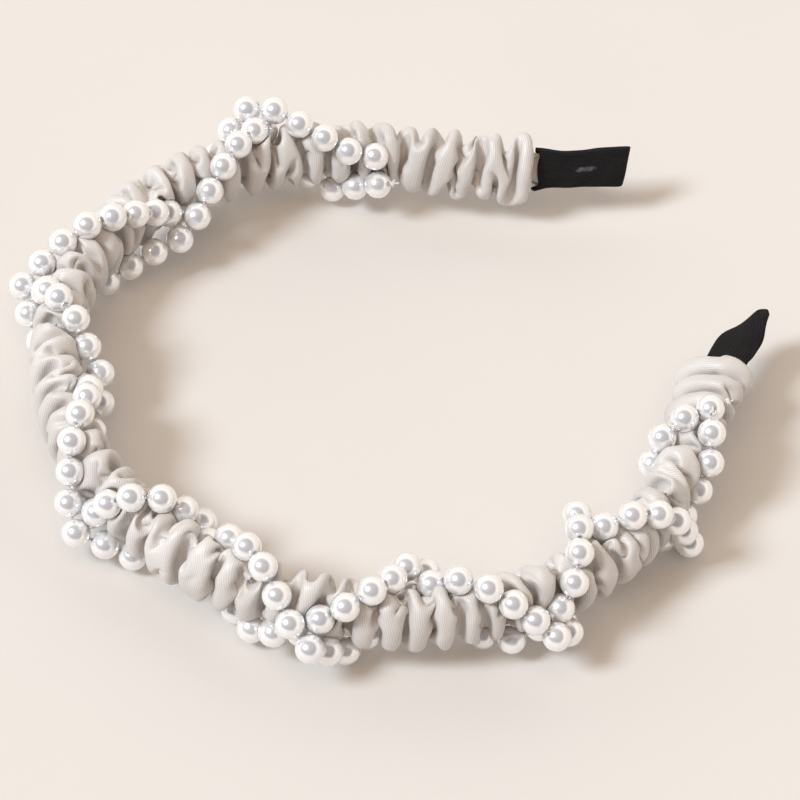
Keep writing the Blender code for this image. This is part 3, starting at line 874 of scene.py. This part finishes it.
# The camera's place and directions before its roll, and its lens in mm.
VIEW_FORWARD = np.array([-0.5105, 0.471, -0.7192])
VIEW_RIGHT = np.array([0.678, 0.735, 0.0])
VIEW_ROLL = math.radians(10.0)
CAMERA_PLACE = (0.5031, -0.3894, 0.6964)
CAMERA_LENS = 205.3
CAMERA_CLIP = (0.01, 20.0)

# The two lights: where each comes from, how wide it is, its strength and its colour.
KEY_FROM = (-0.10, -0.72, 0.69)
KEY_ANGLE = math.radians(15.6)
KEY_STRENGTH = 2.91
KEY_COLOR = (0.80, 0.90, 1.0)
FILL_FROM = (0.6, -1.2, 2.6)
FILL_ANGLE = math.radians(54.0)
FILL_STRENGTH = 1.24
FILL_COLOR = (1.0, 0.77, 0.50)

# The floor's half side, and the surroundings by how much they face the room behind the camera.
FLOOR_HALF = 3.0
ROOM_DIRECTION = np.array([0.345, -0.556, 0.756])
WORLD_COLORS = (0.0, (0.95, 0.86, 0.76)), (0.36, (1.18, 1.14, 1.1)), (0.56, (0.12, 0.11, 0.14))
WORLD_STRENGTH = 0.95


def build_floor(lowest):
    """A plain pale floor under the band's lowest point."""
    floor = Shader("pale_floor", Roughness=0.75)
    floor.link(floor.ramp(floor.noise(9.0, 4.0), FLOOR_COLORS), "Base Color")
    data = bpy.data.meshes.new("floor")
    sides = ((-1.0, -1.0), (1.0, -1.0), (1.0, 1.0), (-1.0, 1.0))
    corners = [(x * FLOOR_HALF, y * FLOOR_HALF, lowest) for x, y in sides]
    data.from_pydata(corners, [], [(0, 1, 2, 3)])
    data.materials.append(floor.material)
    plane = bpy.data.objects.new("floor", data)
    bpy.context.scene.collection.objects.link(plane)
    plane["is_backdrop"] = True


def sun_light(name, source, angle, strength, color, mirrored=True):
    """A distant soft light from a direction. Unless mirrored, it doesn't show in the beads."""
    data = bpy.data.lights.new(name, "SUN")
    data.angle = angle
    data.energy = strength
    data.color = color
    light = bpy.data.objects.new(name, data)
    light.rotation_euler = (-Vector(source)).to_track_quat("-Z", "Y").to_euler()
    light.visible_glossy = mirrored
    bpy.context.scene.collection.objects.link(light)


def build_world():
    """A pale studio all round, with a darker room behind the camera that the beads mirror."""
    world = bpy.data.worlds.new("studio")
    bpy.context.scene.world = world
    world.use_nodes = True
    tree = world.node_tree
    background = tree.nodes["Background"]
    place = tree.nodes.new("ShaderNodeTexCoord")
    dot = tree.nodes.new("ShaderNodeVectorMath")
    dot.operation = "DOT_PRODUCT"
    dot.inputs[1].default_value = tuple(unit(ROOM_DIRECTION))
    tree.links.new(place.outputs["Generated"], dot.inputs[0])
    ramp = tree.nodes.new("ShaderNodeValToRGB")
    tree.links.new(dot.outputs["Value"], ramp.inputs[0])
    set_stops(ramp.color_ramp, WORLD_COLORS)
    tree.links.new(ramp.outputs["Color"], background.inputs["Color"])
    background.inputs["Strength"].default_value = WORLD_STRENGTH


def build_camera():
    """A long lens that looks down on the band, rolled a little."""
    cosine, sine = math.cos(VIEW_ROLL), math.sin(VIEW_ROLL)
    forward = unit(VIEW_FORWARD)
    right = unit(VIEW_RIGHT)
    up = np.cross(right, forward)
    turned_right = cosine * right + sine * up
    turned_up = cosine * up - sine * right
    data = bpy.data.cameras.new("camera")
    data.lens = CAMERA_LENS
    data.sensor_width = 36.0
    data.clip_start, data.clip_end = CAMERA_CLIP
    camera = bpy.data.objects.new("camera", data)
    rotation = np.stack([turned_right, turned_up, -forward], axis=1)
    camera.matrix_world = Matrix.Translation(CAMERA_PLACE) @ Matrix(rotation.tolist()).to_4x4()
    bpy.context.scene.collection.objects.link(camera)
    bpy.context.scene.camera = camera


# ---------------------------------------------------------------- the scene


def build_scene():
    """Both strands, the sleeve, the covers and the strip, on the floor under the lights."""
    pearl, thread = pearl_material(), thread_material()
    runs = {letter: strand_runs(letter) for letter in "ab"}
    for letter, strand in runs.items():
        build_strand(letter, strand, pearl, thread)
    beads = np.concatenate([chain for strand in runs.values() for _, _, chain in strand])
    build_sleeve(beads, satin_material())
    black = ribbed_material()
    left = -1.0, LEFT_COVER_TIP_ARC, LEFT_COVER_SHAPE, LEFT_COVER_SLANT, LEFT_COVER_SEED
    right = 1.0, RIGHT_COVER_TIP_ARC, RIGHT_COVER_SHAPE, RIGHT_COVER_SLANT, RIGHT_COVER_SEED
    build_cover("left_end_cover", *left, black)
    build_cover("right_end_cover", *right, black)
    steel = steel_material()
    for node, cad_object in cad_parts.items():
        if node.startswith("spring_strip"):
            cad_object.data.materials.clear()
            cad_object.data.materials.append(steel)
    build_floor(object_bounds()[0].z)
    build_world()
    sun_light("key", KEY_FROM, KEY_ANGLE, KEY_STRENGTH, KEY_COLOR)
    sun_light("fill", FILL_FROM, FILL_ANGLE, FILL_STRENGTH, FILL_COLOR, mirrored=False)
    build_camera()
    bpy.context.scene.view_settings.view_transform = "Standard"


build_scene()
